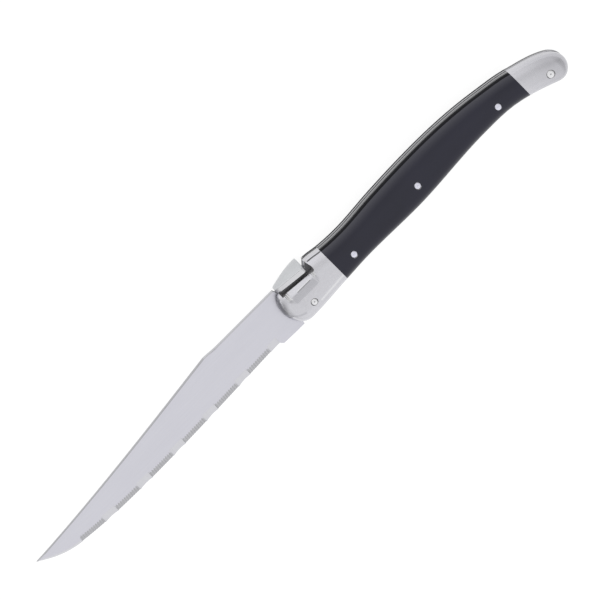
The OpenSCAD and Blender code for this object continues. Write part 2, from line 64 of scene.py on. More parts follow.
# View of the photograph: square frame, knife on the rising diagonal, spine turned a little to the camera
FRAME_PIXELS = 600
PIXEL_SIZE = 0.3155 * MM
SPINE_TILT = math.radians(18)
KNIFE_TURN = math.radians(45)
VIEW_FROM_RIVET = Vector((-2.82, 2.035, 0.0)) * MM
CAMERA_DISTANCE = 3.0
SENSOR_WIDTH = 36.0

# Floor
FLOOR_HALF = 3.0
FLOOR_TINT = (0.22, 0.22, 0.22, 1.0)
FLOOR_ROUGH = 0.9
FLOOR_GLOW = 0.86
WHITE = (1.0, 1.0, 1.0, 1.0)

# Brightness of the sky across the knife, by the angle in degrees from overhead towards the spine
SKY_ACROSS = ((-90, 1.0), (-60, 1.06), (-36, 1.04), (-18, 1.0), (0, 0.92),
              (15, 0.90), (32, 1.05), (55, 1.15), (90, 1.15))
# Share of it that is left along the knife, from past the tip at -1 to past the butt at 1
SKY_ALONG = ((-1.0, 0.35), (-0.62, 0.9), (-0.3, 1.0), (0.12, 1.0), (0.45, 0.82), (1.0, 0.72))

# Widths of the softened edges, and the angles from which an edge counts as hard
SEAM_EDGE = 0.07 * MM
SPINE_EDGE = 0.30 * MM
RIDGE_EDGE = 0.30 * MM
PLATE_EDGE = 0.16 * MM
FINE_STEPS = 3
ROUND_PROFILE = 0.5
SHARP_ANGLE = math.radians(33)
GROUND_ANGLE = math.radians(10)

# Closeness at which corners join, flatness at which faces join, and the room in which a point is found
MERGE_DISTANCE = 0.0005 * MM
FLAT_ANGLE = math.radians(0.2)
POINT_ROOM = 0.01 * MM

# Shares of a face's normal along an axis, from square to the axis down to straight past it
SQUARE = 0.9
UPRIGHT = 0.8
EDGEWISE = 0.5
LEANING = 0.3
TURNED = 0.2
STRAIGHT = 0.12

# Blade: level that its whole spine lies above, and length of the plain point in front of the teeth
TIP_LEVEL = -1.5 * MM
PLAIN_POINT = 14.9 * MM
# Slopes that tell the clip's spine, the ground bevel and the flanks of the teeth from the faces round them
CLIP_SLOPE = -0.025
BEVEL_TILT = -0.15
TOOTH_TILT = -0.31
# Largest face of a groove between two teeth, in square metres
GROOVE_AREA = 1.2 * MM * MM
# Sloped end of the spine in front of the fly plate: its room, its reach at top and foot, and its tilt
NOTCH_ROOM = 2.0 * MM
NOTCH_BACK = 0.45 * MM
NOTCH_FOOT = 0.22 * MM
NOTCH_TILT = 0.1

# Tang: starts of the painted shade on its seat and on its filed edges behind the bolster's nose, and of its
# back behind the plate
SEAT_START = 2.0 * MM
TANG_START = 3.0 * MM
BACK_START = 1.5 * MM
# Rise that brings the tang's back level with the liners
TANG_RISE = 0.36 * MM
# Fine line filed along the tang's back: half its width, its depth, and its place right of the middle plane
FILED_HALF = 0.3 * MM
FILED_DEPTH = 0.12 * MM
FILED_SHIFT = 0.5 * MM

# Reach of the slot in front of the fly plate, and of the pocket behind it
SLOT_FRONT = 0.5 * MM
SLOT_REAR = 2.1 * MM
# Start of the slot's painted shade behind the front of the plate, and its height above the plate's seat
SLOT_SHADE = 0.45 * MM
POCKET_HEIGHT = 1.1 * MM
# Stretch at the rear of the pocket over which the painted shade on its floor gets lighter, and how much
POCKET_RUN = 3.0 * MM
POCKET_LIGHT = 2.2
# Ramp from the seat behind the plate up to the hump, the step left at its top, and room to find the seat
RAMP_START = 0.03 * MM
RAMP_LIP = 0.16 * MM
SEAT_ROOM = 0.3 * MM
# Lean of the hump's front over the pocket, and the level that it starts from
LEAN = 0.5 * MM
LEAN_FROM = 6.0 * MM
# Painted shade line of a dark crease on the hump's shoulder: its start behind the plate, and the tilts of
# its facet
CREASE_START = 2.5 * MM
CREASE_TILT = (0.83, 0.94)

# Ends of the fly plate that keep their edges, and the tilts of its sides and of the painted shade along its
# rim
PLATE_FRONT = 0.5 * MM
PLATE_REAR = 0.3 * MM
PLATE_SIDE = 0.6
RIM_SIDE = 0.45
RIM_TILT = (0.35, 0.65)

# Nose of the front bolster: lowest point of the painted shade on its rim, turn of the rim, and its reach to
# the plate
NOSE_SHADE = -2.0 * MM
NOSE_TURN = 0.7
NOSE_REACH = 0.45 * MM
# Scoop: drop of its ridge below the plate, and the ridge's stretch that is rounded and that carries a
# painted shade and highlight line
RIDGE_DROP = 3.03 * MM
RIDGE_ROOM = 0.4 * MM
RIDGE_FROM = 2.4 * MM
RIDGE_REAR = 0.6 * MM
RIDGE_LINE = (4.6 * MM, 10.2 * MM)
# Satin and painted shade of the scoop: its start behind the plate's front, its depth under the ridge, and
# its tilts
SCOOP_FRONT = 1.9 * MM
SCOOP_DEPTH = 3.0 * MM
SCOOP_TILT = (0.12, 0.42)
# Shoulder below the bolster's flat: tilts of its facets with painted shade and with a painted highlight,
# and where each ends or starts
DULL_TILT = (-0.12, -0.05)
DULL_END = 2.2 * MM
BRIGHT_TILT = (-0.3, -0.12)
BRIGHT_START = 7.6 * MM
# Corners of a bolster that keep their edges: under the plate's front, by the pocket, and at the butt
FRONT_CORNER = 0.4 * MM
POCKET_CORNER = (0.4 * MM, 2.3 * MM)
BUTT_END = 0.5 * MM
# Share of the rear bolster's brightness that its painted shade leaves at the butt
BUTT_FADE = 0.86

# Scales: upright share of their sawn spine, and depths from the middle where the painted sheen of the
# shoulder lies
SAWN_SPINE = 0.86
SHEEN_FROM = 5.5 * MM
SHEEN_TO = 4.4 * MM

# Rivets and pins: facets, dome, rings of the dome as shares of the radius and of its rise, and centre mark
PINS = ("front_rivet", "rear_rivet", "scale_pin_front", "scale_pin_middle", "scale_pin_rear")
PIN_FACETS = 48
PIN_DOME = 0.16 * MM
DOME_RINGS = ((0.10, 0.45), (0.16, 0.30), (0.22, 0.17), (0.24, 0.08))
MARK_INSET = 0.10
MARK_DEPTH = 0.09 * MM
MARK_SHARE = 0.21
# Room round a pin that keeps its crisp countersink, and the sideways share of the painted dark shade on its
# arcs
PIN_ROOM = 0.6 * MM
SIDE_ARC = 0.5

# Marks that each way of working leaves, in waves a metre along X, Y and Z, and the broad clouding over them
GROUND = ((90, 5200, 5200), (60, 160, 160))
GROUND_ACROSS = ((5200, 400, 400), (160, 160, 160))
FILED_ACROSS = ((4200, 700, 700), (120, 120, 120))
POLISHED = ((1500, 1500, 1500), (140, 140, 140))
BUFFED = ((2400, 900, 900), (140, 140, 140))
BUFFED_ALONG = ((3000, 900, 900), (140, 140, 140))
BRUSHED_SIDE = ((700, 700, 3600), (140, 140, 140))
BRUSHED_RIM = ((3600, 700, 700), (140, 140, 140))
ROUGHED = ((1400, 1400, 1400), (200, 200, 200))
TURNED_END = ((2600, 2600, 2600), (400, 400, 400))
MARK_DETAIL = 4.0
CLOUD_DETAIL = 3.0
CLOUD_SHARE = 0.4
RESIN_DETAIL = 5.0
NOISE_RANGE = (0.3, 0.7)
BUMP_DEPTH = 0.02 * MM

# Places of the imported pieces
blade_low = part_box("blade")[0]
nose_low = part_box("left_front_bolster")[0]
plate_low, plate_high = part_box("fly_plate")
scale_low, scale_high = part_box("left_scale")
butt_low, butt_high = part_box("left_rear_bolster")
pin_boxes = [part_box(node) for node in PINS]
pin_places = [((low + high) / 2, (high.x - low.x) / 2) for low, high in pin_boxes]

# Places worked out from them
middle = (cad_box[0].z + cad_box[1].z) / 2
filed_height = middle - FILED_SHIFT
teeth_start = blade_low.x + PLAIN_POINT
slot_dark = plate_low.x + SLOT_SHADE
pocket_end = plate_high.x + SLOT_REAR
ridge_level = plate_low.y - RIDGE_DROP
line_start, line_end = (plate_low.x + reach for reach in RIDGE_LINE)


def activate(piece):
    bpy.ops.object.select_all(action="DESELECT")
    piece.select_set(True)
    bpy.context.view_layer.objects.active = piece


def merged_copy(node, name):
    """A copy of a CAD node with its loose triangles joined and its flat faces whole."""
    piece = bpy.data.objects.new(name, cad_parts[node].data.copy())
    bpy.context.scene.collection.objects.link(piece)
    piece.data.materials.clear()
    activate(piece)
    bpy.ops.mesh.customdata_custom_splitnormals_clear()
    bpy.ops.object.mode_set(mode="EDIT")
    bpy.ops.mesh.select_all(action="SELECT")
    bpy.ops.mesh.remove_doubles(threshold=MERGE_DISTANCE)
    bpy.ops.mesh.dissolve_limited(angle_limit=FLAT_ANGLE)
    bpy.ops.object.mode_set(mode="OBJECT")
    return piece


def edge_ends(piece, edge):
    return [piece.data.vertices[i].co for i in edge.vertices]


def edge_middle(piece, edge):
    first, second = edge_ends(piece, edge)
    return (first + second) / 2


def runs_lengthwise(piece, edge):
    first, second = edge_ends(piece, edge)
    run = first - second
    return abs(run.x) > max(abs(run.y), abs(run.z))


def clear_selection(piece, kind):
    """Makes a piece active, with nothing of its mesh selected."""
    activate(piece)
    bpy.ops.object.mode_set(mode="EDIT")
    bpy.ops.mesh.select_mode(type=kind)
    bpy.ops.mesh.select_all(action="DESELECT")
    bpy.ops.object.mode_set(mode="OBJECT")


def soften_edges(piece, width, segments=2, angle=SHARP_ANGLE, chosen=None):
    """Bevels the hard edges of a piece, or only the chosen ones."""
    clear_selection(piece, "EDGE")
    bpy.ops.object.mode_set(mode="EDIT")
    bpy.ops.mesh.edges_select_sharp(sharpness=angle)
    bpy.ops.object.mode_set(mode="OBJECT")
    kept = [edge for edge in piece.data.edges if edge.select and (chosen is None or chosen(edge))]
    for element in (*piece.data.vertices, *piece.data.edges, *piece.data.polygons):
        element.select = False
    for edge in kept:
        edge.select = True
    bpy.ops.object.mode_set(mode="EDIT")
    bpy.ops.mesh.bevel(offset=width, offset_type="OFFSET", segments=segments, profile=ROUND_PROFILE,
                       clamp_overlap=False)
    bpy.ops.object.mode_set(mode="OBJECT")


def select_faces(piece, chosen):
    """Leaves a piece in edit mode with only the chosen faces selected."""
    clear_selection(piece, "FACE")
    for face in piece.data.polygons:
        face.select = chosen(face)
    bpy.ops.object.mode_set(mode="EDIT")


def cut_faces(piece, axis, place, chosen):
    """Cuts the chosen faces square to an axis, at one place on it."""
    select_faces(piece, chosen)
    bpy.ops.mesh.bisect(plane_co=place * axis, plane_no=axis)
    bpy.ops.object.mode_set(mode="OBJECT")


def move_faces(piece, step, chosen):
    select_faces(piece, chosen)
    bpy.ops.transform.translate(value=step)
    bpy.ops.object.mode_set(mode="OBJECT")


def move_points(piece, step, chosen):
    clear_selection(piece, "VERT")
    for vertex in piece.data.vertices:
        vertex.select = chosen(vertex.co)
    bpy.ops.object.mode_set(mode="EDIT")
    bpy.ops.transform.translate(value=step)
    bpy.ops.object.mode_set(mode="OBJECT")


def keep_inside(piece, node):
    """Pulls back the points that a bevel pushed past the box of the CAD node."""
    low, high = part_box(node)
    for vertex in piece.data.vertices:
        vertex.co = [min(max(value, low[axis]), high[axis]) for axis, value in enumerate(vertex.co)]


def smooth_shading(piece, angle=SHARP_ANGLE):
    """Smooth faces with crisp hard edges, led by the larger faces."""
    activate(piece)
    bpy.ops.object.shade_smooth_by_angle(angle=angle)
    modifier = piece.modifiers.new("even_normals", "WEIGHTED_NORMAL")
    modifier.keep_sharp = True
    bpy.ops.object.modifier_apply(modifier=modifier.name)


def settle(piece, node, material):
    """Dresses a piece and puts it in the place of its CAD node."""
    piece.data.materials.append(material)
    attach(piece, "root")
    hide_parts(node)


def finish_faces(piece, material, chosen):
    """Gives the chosen faces of a piece a finish of their own."""
    piece.data.materials.append(material)
    index = len(piece.data.materials) - 1
    for face in piece.data.polygons:
        if chosen(face):
            face.material_index = index


def new_material(name):
    material = bpy.data.materials.new(name)
    material.use_nodes = True
    nodes = material.node_tree.nodes
    return material, nodes, material.node_tree.links, nodes["Principled BSDF"]


def stretched_noise(nodes, links, scale, detail):
    """Noise on object coordinates, with its own scale along each axis."""
    place = nodes.new("ShaderNodeTexCoord")
    mapping = nodes.new("ShaderNodeMapping")
    mapping.inputs["Scale"].default_value = scale
    noise = nodes.new("ShaderNodeTexNoise")
    noise.inputs["Scale"].default_value = 1.0
    noise.inputs["Detail"].default_value = detail
    links.new(place.outputs["Object"], mapping.inputs["Vector"])
    links.new(mapping.outputs["Vector"], noise.inputs["Vector"])
    return noise.outputs["Fac"]


def own_place(nodes, links, axis):
    """Object coordinate of a point along one axis."""
    place = nodes.new("ShaderNodeTexCoord")
    split = nodes.new("ShaderNodeSeparateXYZ")
    links.new(place.outputs["Object"], split.inputs["Vector"])
    return split.outputs[axis]


def map_range(nodes, links, value, source, target=(0.0, 1.0)):
    """Maps a value from one range to another."""
    node = nodes.new("ShaderNodeMapRange")
    for socket, bound in zip(("From Min", "From Max", "To Min", "To Max"), (*source, *target)):
        node.inputs[socket].default_value = bound
    links.new(value, node.inputs["Value"])
    return node.outputs["Result"]


def blend_tints(nodes, links, value, dark, light):
    node = nodes.new("ShaderNodeMix")
    node.data_type = "RGBA"
    node.inputs["A"].default_value = (*dark, 1.0)
    node.inputs["B"].default_value = (*light, 1.0)
    links.new(value, node.inputs["Factor"])
    return node.outputs["Result"]


def blend_into(nodes, links, value, tint, other):
    """Blends the tint that another node gives into a fixed one."""
    node = nodes.new("ShaderNodeMix")
    node.data_type = "RGBA"
    node.inputs["B"].default_value = (*other, 1.0)
    links.new(value, node.inputs["Factor"])
    links.new(tint, node.inputs["A"])
    return node.outputs["Result"]


def add_bump(nodes, links, shader, height, strength):
    bump = nodes.new("ShaderNodeBump")
    bump.inputs["Strength"].default_value = strength
    bump.inputs["Distance"].default_value = BUMP_DEPTH
    links.new(height, bump.inputs["Height"])
    links.new(bump.outputs["Normal"], shader.inputs["Normal"])


def metal(name, dark, light, work, rough, bump, fade=None):
    """Steel with the marks of its working and a broad clouding, that may fade along the knife."""
    material, nodes, links, shader = new_material(name)
    marks, clouding = work
    lines = stretched_noise(nodes, links, marks, MARK_DETAIL)
    patches = stretched_noise(nodes, links, clouding, CLOUD_DETAIL)
    mixed = nodes.new("ShaderNodeMix")
    mixed.inputs["Factor"].default_value = CLOUD_SHARE
    links.new(lines, mixed.inputs["A"])
    links.new(patches, mixed.inputs["B"])
    grain = mixed.outputs["Result"]
    tint = blend_tints(nodes, links, map_range(nodes, links, grain, NOISE_RANGE), dark, light)
    if fade:
        start, end, share = fade
        reach = map_range(nodes, links, own_place(nodes, links, "X"), (start, end))
        tint = blend_into(nodes, links, reach, tint, [share * value for value in dark])
    links.new(tint, shader.inputs["Base Color"])
    links.new(map_range(nodes, links, grain, NOISE_RANGE, rough), shader.inputs["Roughness"])
    shader.inputs["Metallic"].default_value = 1.0
    add_bump(nodes, links, shader, lines, bump)
    return material


def blade_satin():
    return metal("blade_satin", dark=(0.605, 0.602, 0.657), light=(0.657, 0.655, 0.71),
                 work=GROUND, rough=(0.34, 0.42), bump=0.25)


def tooth_ground_painted_shade():
    return metal("tooth_ground_painted_shade", dark=(0.45, 0.45, 0.47), light=(0.53, 0.53, 0.55),
                 work=GROUND_ACROSS, rough=(0.32, 0.42), bump=0.25)


def scallop_bright():
    return metal("scallop_bright", dark=(0.57, 0.57, 0.60), light=(0.63, 0.63, 0.66),
                 work=GROUND_ACROSS, rough=(0.26, 0.36), bump=0.15)


def spine_satin_painted_shade():
    return metal("spine_satin_painted_shade", dark=(0.48, 0.48, 0.50), light=(0.54, 0.54, 0.56),
                 work=FILED_ACROSS, rough=(0.34, 0.46), bump=0.2)


def clip_spine_painted_shade():
    return metal("clip_spine_painted_shade", dark=(0.395, 0.395, 0.411), light=(0.463, 0.463, 0.48),
                 work=FILED_ACROSS, rough=(0.38, 0.50), bump=0.2)


def tang_filed_painted_shade():
    return metal("tang_filed_painted_shade", dark=(0.255, 0.255, 0.265), light=(0.345, 0.345, 0.355),
                 work=FILED_ACROSS, rough=(0.34, 0.46), bump=0.2)


def liner_filed_painted_shade():
    return metal("liner_filed_painted_shade", dark=(0.31, 0.31, 0.32), light=(0.41, 0.41, 0.42),
                 work=FILED_ACROSS, rough=(0.34, 0.46), bump=0.2)


def liner_dull_painted_shade():
    return metal("liner_dull_painted_shade", dark=(0.11, 0.11, 0.115), light=(0.16, 0.16, 0.165),
                 work=FILED_ACROSS, rough=(0.38, 0.50), bump=0.2)


def back_polish():
    return metal("back_polish", dark=(0.54, 0.538, 0.56), light=(0.62, 0.618, 0.64),
                 work=FILED_ACROSS, rough=(0.24, 0.34), bump=0.1)


def bolster_polish():
    return metal("bolster_polish", dark=(0.56, 0.557, 0.59), light=(0.625, 0.622, 0.655),
                 work=POLISHED, rough=(0.20, 0.30), bump=0.06)


def butt_polish_painted_shade():
    """Polish of the rear bolster, with painted shade that darkens it a little towards the butt."""
    return metal("butt_polish_painted_shade", dark=(0.55, 0.547, 0.58), light=(0.615, 0.612, 0.645),
                 work=POLISHED, rough=(0.20, 0.30), bump=0.06, fade=(butt_low.x, butt_high.x, BUTT_FADE))


def scoop_satin_painted_shade():
    return metal("scoop_satin_painted_shade", dark=(0.48, 0.478, 0.51), light=(0.54, 0.538, 0.57),
                 work=BUFFED_ALONG, rough=(0.24, 0.34), bump=0.1)


def painted_mid_shade():
    return metal("painted_mid_shade", dark=(0.30, 0.30, 0.315), light=(0.38, 0.38, 0.395),
                 work=BUFFED, rough=(0.28, 0.38), bump=0.1)


def painted_dark_shade():
    return metal("painted_dark_shade", dark=(0.035, 0.035, 0.037), light=(0.06, 0.06, 0.063),
                 work=BUFFED, rough=(0.28, 0.38), bump=0.1)


def painted_deep_shade():
    """Painted shade for the hump's dark line, that stays dark at a glancing angle."""
    material = metal("painted_deep_shade", dark=(0.035, 0.035, 0.037), light=(0.06, 0.06, 0.063),
                     work=BUFFED, rough=(0.28, 0.38), bump=0.1)
    shader = material.node_tree.nodes["Principled BSDF"]
    shader.inputs["Specular Tint"].default_value = (0.45, 0.45, 0.46, 1.0)
    return material


def recess_painted_shade():
    return metal("recess_painted_shade", dark=(0.26, 0.255, 0.26), light=(0.35, 0.34, 0.345),
                 work=ROUGHED, rough=(0.5, 0.65), bump=0.2)


def pocket_painted_shade():
    """Unpolished steel with painted shade in the slot under the fly plate and its pocket, the shade lighter
    towards the rear.
    """
    return metal("pocket_painted_shade", dark=(0.26, 0.255, 0.26), light=(0.35, 0.34, 0.345),
                 work=ROUGHED, rough=(0.5, 0.65), bump=0.2,
                 fade=(plate_high.x - POCKET_RUN, plate_high.x, POCKET_LIGHT))


def plate_satin():
    return metal("plate_satin", dark=(0.49, 0.50, 0.515), light=(0.56, 0.57, 0.585),
                 work=BRUSHED_SIDE, rough=(0.26, 0.36), bump=0.12)


def plate_rim_and_painted_highlight():
    return metal("plate_rim_and_painted_highlight", dark=(0.64, 0.64, 0.66), light=(0.72, 0.72, 0.74),
                 work=BRUSHED_RIM, rough=(0.20, 0.30), bump=0.1)


def rivet_polish_and_painted_highlight():
    return metal("rivet_polish_and_painted_highlight", dark=(0.70, 0.70, 0.72), light=(0.80, 0.80, 0.81),
                 work=TURNED_END, rough=(0.14, 0.24), bump=0.05)


def pin_polish():
    return metal("pin_polish", dark=(0.64, 0.64, 0.73), light=(0.735, 0.735, 0.82),
                 work=TURNED_END, rough=(0.14, 0.24), bump=0.05)


def satin_resin():
    """Satin black resin with a faint grain, and a painted sheen that makes it lighter along its shoulders.
    """
    material, nodes, links, shader = new_material("satin_resin")
    grain = stretched_noise(nodes, links, (900, 2600, 2600), RESIN_DETAIL)
    clouds = stretched_noise(nodes, links, (60, 120, 120), CLOUD_DETAIL)
    tone = map_range(nodes, links, clouds, NOISE_RANGE)
    flat = blend_tints(nodes, links, tone, (0.005, 0.005, 0.011), (0.009, 0.009, 0.018))
    depth = nodes.new("ShaderNodeMath")
    depth.operation = "SUBTRACT"
    depth.inputs[1].default_value = middle
    links.new(own_place(nodes, links, "Z"), depth.inputs[0])
    away = nodes.new("ShaderNodeMath")
    away.operation = "ABSOLUTE"
    links.new(depth.outputs["Value"], away.inputs[0])
    # Painted sheen: lighter towards the shoulders
    sheen_share = map_range(nodes, links, away.outputs["Value"], (SHEEN_FROM, SHEEN_TO))
    painted_sheen = blend_into(nodes, links, sheen_share, flat, (0.034, 0.034, 0.041))
    links.new(painted_sheen, shader.inputs["Base Color"])
    links.new(map_range(nodes, links, clouds, NOISE_RANGE, (0.30, 0.40)), shader.inputs["Roughness"])
    shader.inputs["Specular IOR Level"].default_value = 0.5
    shader.inputs["Specular Tint"].default_value = (0.86, 0.86, 1.0, 1.0)
    add_bump(nodes, links, shader, grain, 0.12)
    return material


def sawn_resin():
    """Duller resin along the sawn spine of the scales."""
    material, nodes, links, shader = new_material("sawn_resin")
    grain = stretched_noise(nodes, links, (2600, 2600, 900), RESIN_DETAIL)
    tone = map_range(nodes, links, grain, NOISE_RANGE)
    tint = blend_tints(nodes, links, tone, (0.008, 0.008, 0.010), (0.014, 0.014, 0.017))
    links.new(tint, shader.inputs["Base Color"])
    links.new(map_range(nodes, links, grain, NOISE_RANGE, (0.55, 0.75)), shader.inputs["Roughness"])
    shader.inputs["Specular IOR Level"].default_value = 0.05
    add_bump(nodes, links, shader, grain, 0.2)
    return material


def by_a_pin(point):
    """Whether a point lies in a rivet or pin, or in the room round it."""
    return any(math.hypot(point.x - centre.x, point.y - centre.y) < radius + PIN_ROOM
               for centre, radius in pin_places)


def at_corner(point, place, level):
    """Whether a point lies at a place along the knife and a level across it."""
    return abs(point.x - place) < POINT_ROOM and abs(point.y - level) < POINT_ROOM


def on_rim(face):
    """Whether a face lies on the rim of a plate, and not on its sides."""
    return abs(face.normal.z) < EDGEWISE


def on_tang_back(face):
    return face.normal.y > EDGEWISE and scale_low.x < face.center.x < scale_high.x


def on_ramp(face):
    return (plate_high.x < face.center.x < pocket_end
            and face.normal.x < -EDGEWISE and face.normal.y > LEANING)


def on_hump(face):
    return plate_high.x < face.center.x < scale_low.x


def by_the_plate(face):
    return plate_low.x - SLOT_FRONT < face.center.x < pocket_end


def wall_of(piece, toward, start, end):
    """The upright cross wall of a piece between two places: its place, foot and top."""
    walls = [face for face in piece.data.polygons if face.normal.x * toward > SQUARE
             and start < face.center.x < end and face.center.y > LEAN_FROM]
    corners = [piece.data.vertices[i].co for face in walls for i in face.vertices]
    levels = [corner.y for corner in corners]
    return corners[0].x, min(levels), max(levels)


def raise_ramp(piece):
    """Ramps the seat behind the fly plate up to the hump."""
    cut_faces(piece, LENGTHWISE, plate_high.x + RAMP_START, lambda face: face.normal.y > SQUARE
              and abs(face.center.y - plate_low.y) < SEAT_ROOM)
    place, foot, top = wall_of(piece, -1, plate_high.x, pocket_end)
    move_points(piece, (0, top - foot - RAMP_LIP, 0), lambda point: at_corner(point, place, foot))


def lean_hump(bolster):
    """Leans the top of the hump's front forwards over the pocket."""

    def on_front(face):
        return face.normal.x < -SQUARE and plate_high.x + BACK_START < face.center.x < pocket_end

    cut_faces(bolster, TO_SPINE, LEAN_FROM, lambda face: on_front(face) and face.center.y > plate_low.y)
    points = {i for face in bolster.data.polygons if on_front(face) and face.center.y > LEAN_FROM
              for i in face.vertices}
    top = max(bolster.data.vertices[i].co.y for i in points)
    for i in points:
        point = bolster.data.vertices[i].co
        point.x -= LEAN * (point.y - LEAN_FROM) / (top - LEAN_FROM)


def slope_spine_end(blade):
    """Slopes the end of the blade's spine in front of the fly plate."""
    place, foot, top = wall_of(blade, 1, plate_low.x - NOTCH_ROOM, plate_low.x)
    move_points(blade, (-NOTCH_BACK, 0, 0), lambda point: at_corner(point, place, top))
    move_points(blade, (NOTCH_FOOT, 0, 0), lambda point: at_corner(point, place, foot))


def file_line(tang):
    """Files a fine line along the tang's back, between the bolsters."""
    for height in (filed_height - FILED_HALF, filed_height, filed_height + FILED_HALF):
        cut_faces(tang, OFF_TABLE, height, on_tang_back)
    move_points(tang, (0, -FILED_DEPTH, 0), lambda point: abs(point.z - filed_height) < POINT_ROOM
                and scale_low.x < point.x < scale_high.x)


def round_spine(blade):
    """Rounds the two long edges of the blade's spine."""
    spine_edges = set()
    for face in blade.data.polygons:
        if face.normal.y > UPRIGHT and face.center.x < plate_low.x and face.center.y > TIP_LEVEL:
            spine_edges.update(face.edge_keys)
    soften_edges(blade, SPINE_EDGE,
                 chosen=lambda edge: edge.key in spine_edges and runs_lengthwise(blade, edge))


def finish_edge(blade, steel):
    """Finishes of the blade's spine, scallops and teeth, with painted shade darkening the spine, the clip
    and the teeth's grooves.
    """

    def on_left(face):
        return face.normal.z > LEANING and face.center.x < nose_low.x

    def on_spine(face):
        return face.normal.y > LEANING

    # Painted shade: the spine and the clip's spine are tinted darker than the blade
    finish_faces(blade, steel["spine_satin_painted_shade"], on_spine)
    finish_faces(blade, steel["clip_spine_painted_shade"], lambda face: on_spine(face) and face.normal.x < CLIP_SLOPE)
    finish_faces(blade, steel["scallop_bright"], lambda face: on_left(face) and face.normal.y < BEVEL_TILT)
    # Painted shade darkening the flanks of the grooves between the teeth
    finish_faces(blade, steel["tooth_ground_painted_shade"], lambda face: on_left(face) and face.center.x > teeth_start
                 and (abs(face.normal.x) > TURNED or face.normal.y < TOOTH_TILT)
                 and face.area < GROOVE_AREA)


def finish_tang(blade, steel):
    """Finishes of the tang's rim, from the seat of the fly plate to the butt, most of them painted shade:
    on its filed edges, its filed line, its seat in the slot, the spine's sloped end and towards the butt.
    """
    # Painted shade on the tang's filed rim
    finish_faces(blade, steel["tang_filed_painted_shade"], lambda face: on_rim(face)
                 and face.center.x > nose_low.x + TANG_START)
    # Painted shade along the filed line on the tang's back
    finish_faces(blade, steel["painted_deep_shade"], lambda face: on_tang_back(face)
                 and abs(face.center.z - filed_height) < FILED_HALF)
    finish_faces(blade, steel["back_polish"], lambda face: on_rim(face) and on_hump(face))
    # Painted shade darkening the tang's rim towards the butt
    finish_faces(blade, steel["butt_polish_painted_shade"], lambda face: on_rim(face) and face.center.x > scale_high.x)
    # Painted shade on the tang's seat in the slot and pocket
    finish_faces(blade, steel["pocket_painted_shade"], lambda face: on_rim(face) and face.normal.y > -EDGEWISE
                 and nose_low.x + SEAT_START < face.center.x < pocket_end
                 and face.center.y < plate_low.y + POCKET_HEIGHT)
    finish_faces(blade, steel["back_polish"], on_ramp)
    # Painted shade on the sloped end of the spine in front of the plate
    finish_faces(blade, steel["painted_deep_shade"], lambda face: face.normal.x > EDGEWISE
                 and face.normal.y > NOTCH_TILT
                 and plate_low.x - NOTCH_ROOM < face.center.x < plate_low.x)


def dress_blade(steel):
    """The blade with rounded spine edges, and a finish of its own on each ground face, several with painted
    shade.
    """
    blade = merged_copy("blade", "blade_ground")
    move_faces(blade, (0, TANG_RISE, 0), lambda face: face.normal.y > LEANING
               and face.center.x > plate_high.x + BACK_START)
    raise_ramp(blade)
    slope_spine_end(blade)
    file_line(blade)
    round_spine(blade)
    smooth_shading(blade, GROUND_ANGLE)
    settle(blade, "blade", steel["blade_satin"])
    finish_edge(blade, steel)
    finish_tang(blade, steel)


def shape_front_bolster(bolster):
    """Leans the hump, brings the nose to the fly plate and rounds the ridge of the scoop."""

    def on_ridge(edge):
        place = edge_middle(bolster, edge)
        return (abs(place.y - ridge_level) < RIDGE_ROOM and runs_lengthwise(bolster, edge)
                and plate_low.x + RIDGE_FROM < place.x < plate_high.x - RIDGE_REAR)

    lean_hump(bolster)
    move_faces(bolster, (NOSE_REACH, 0, 0), lambda face: face.normal.x > SQUARE
               and face.center.y > ridge_level and face.center.x < plate_low.x)
    soften_edges(bolster, RIDGE_EDGE, FINE_STEPS, GROUND_ANGLE, on_ridge)


def too_tight(point):
    """Whether a point of a bolster lies where the faces are too small to bevel."""
    corner_start, corner_end = (plate_high.x + reach for reach in POCKET_CORNER)
    by_pocket = corner_start < point.x < corner_end and point.y > ridge_level - RIDGE_ROOM
    by_front = (abs(point.x - plate_low.x) < FRONT_CORNER
                and ridge_level < point.y < plate_low.y - 2 * FRONT_CORNER)
    return by_pocket or by_front or point.x > cad_box[1].x - BUTT_END


def soften_seams(piece, part):
    """Softens the hard edges of a piece of the handle, apart from countersinks and tight corners."""

    def can_soften(edge):
        place = edge_middle(piece, edge)
        return not by_a_pin(place) and not (part.endswith("bolster") and too_tight(place))

    soften_edges(piece, SEAM_EDGE, chosen=can_soften)


def part_finishes(piece, part):
    """Cuts the faces of a liner or front bolster where one finish or painted shade changes to another."""
    cut_faces(piece, LENGTHWISE, slot_dark, lambda face: face.normal.y > TURNED and by_the_plate(face)
              and face.center.y > ridge_level)
    if part == "front_bolster":
        for place in (line_start, line_end):
            cut_faces(piece, LENGTHWISE, place, lambda face: by_the_plate(face)
                      and abs(face.center.y - ridge_level) < RIDGE_ROOM)


